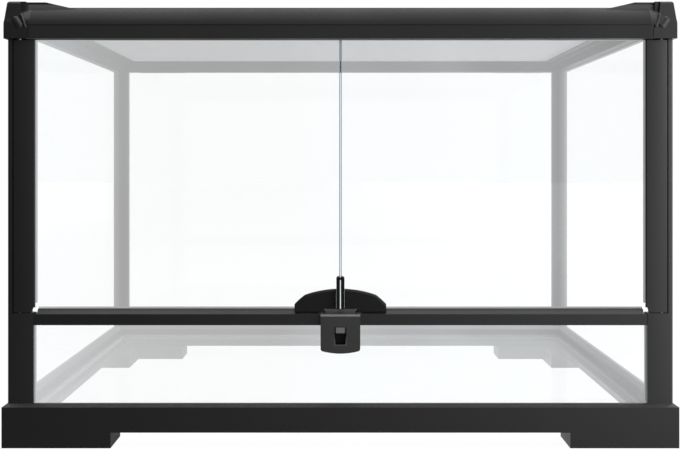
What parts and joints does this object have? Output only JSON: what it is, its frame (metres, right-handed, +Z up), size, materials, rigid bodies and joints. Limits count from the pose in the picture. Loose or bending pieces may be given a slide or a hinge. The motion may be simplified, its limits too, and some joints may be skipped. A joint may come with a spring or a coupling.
{
  "type": "reptile terrarium",
  "caption": "Glass reptile terrarium with a black plastic frame, two front doors on hinge strips, a swing-out latch, a lift-off wire screen lid and closable cable inlets.",
  "frame": {"origin": "on the floor, under the middle of the terrarium's overall box", "axes": "+Z up, +X to the right seen from the doors, +Y towards the rear wall; the doors and the latch face -Y"},
  "size_m": [0.6, 0.4568, 0.3964],
  "materials": {
    "frame_plastic": "satin black moulded plastic of the base frame and crossbar",
    "post_plastic": "satin black extruded plastic with faint draw lines along its length",
    "rail_plastic": "half-gloss black extruded plastic of the top rails",
    "corner_plastic": "half-gloss black moulded corner blocks",
    "strip_plastic": "satin black extruded hinge strips",
    "fitting_plastic": "matte black moulded fittings",
    "latch_plastic": "fine-grained charcoal black latch flap",
    "slider_plastic": "dark grey moulded sliders",
    "lid_plastic": "matte black moulded lid frame and gates",
    "clear_glass": "clear float glass with pale blue ground edges",
    "sealant": "clear milky silicone sealant",
    "screen_wire": "woven wire screen",
    "pin_steel": "drawn steel pins"
  },
  "bodies": {
    "tank": {"base_frame": "frame_plastic", "floor_glass": "clear_glass", "left_side_glass": "clear_glass", "right_side_glass": "clear_glass", "rear_glass": "clear_glass", "lower_front_glass": "clear_glass", "floor_seal": "sealant", "front_left_post": "post_plastic", "front_right_post": "post_plastic", "rear_left_post": "post_plastic", "rear_right_post": "post_plastic", "crossbar": "frame_plastic", "latch_ears": "fitting_plastic", "latch_pin": "pin_steel", "front_rail": "rail_plastic", "rear_rail": "rail_plastic", "left_rail": "rail_plastic", "right_rail": "rail_plastic", "front_left_corner": "corner_plastic", "front_right_corner": "corner_plastic", "rear_left_corner": "corner_plastic", "rear_right_corner": "corner_plastic"},
    "left_door": {"left_door_glass": "clear_glass", "left_hinge_strip": "strip_plastic", "left_hinge_pins": "pin_steel", "left_door_catch": "fitting_plastic", "left_door_pull": "fitting_plastic"},
    "right_door": {"right_door_glass": "clear_glass", "right_hinge_strip": "strip_plastic", "right_hinge_pins": "pin_steel", "right_door_catch": "fitting_plastic", "right_door_pull": "fitting_plastic"},
    "latch": {"latch_body": "latch_plastic"},
    "lock": {"lock_slider": "slider_plastic"},
    "lid": {"lid_frame": "lid_plastic", "lid_mesh": "screen_wire"},
    "left_bolt": {"left_lid_bolt": "slider_plastic"},
    "right_bolt": {"right_lid_bolt": "slider_plastic"},
    "left_gate": {"left_inlet_gate": "lid_plastic"},
    "right_gate": {"right_inlet_gate": "lid_plastic"}
  },
  "joints": [
    {"name": "left_door_hinge", "type": "hinge", "parent": "tank", "child": "left_door", "pos_m": [-0.2863, -0.217, 0.24], "axis": [0, 0, -1], "range_deg": [0, 110]},
    {"name": "right_door_hinge", "type": "hinge", "parent": "tank", "child": "right_door", "pos_m": [0.2863, -0.217, 0.24], "axis": [0, 0, 1], "range_deg": [0, 110]},
    {"name": "latch_flap", "type": "hinge", "parent": "tank", "child": "latch", "pos_m": [0, -0.2236, 0.1115], "axis": [-1, 0, 0], "range_deg": [0, 15]},
    {"name": "lock_slide", "type": "slide", "parent": "latch", "child": "lock", "axis": [0, 0, -1], "range_m": [0, 0.0085]},
    {"name": "lid_lift", "type": "slide", "parent": "tank", "child": "lid", "axis": [0, 0, 1], "range_m": [0, 0.12]},
    {"name": "left_bolt_slide", "type": "slide", "parent": "lid", "child": "left_bolt", "axis": [-1, 0, 0], "range_m": [0, 0.007]},
    {"name": "right_bolt_slide", "type": "slide", "parent": "lid", "child": "right_bolt", "axis": [1, 0, 0], "range_m": [0, 0.007]},
    {"name": "left_gate_slide", "type": "slide", "parent": "tank", "child": "left_gate", "axis": [-1, 0, 0], "range_m": [0, 0.026]},
    {"name": "right_gate_slide", "type": "slide", "parent": "tank", "child": "right_gate", "axis": [1, 0, 0], "range_m": [0, 0.026]}
  ]
}
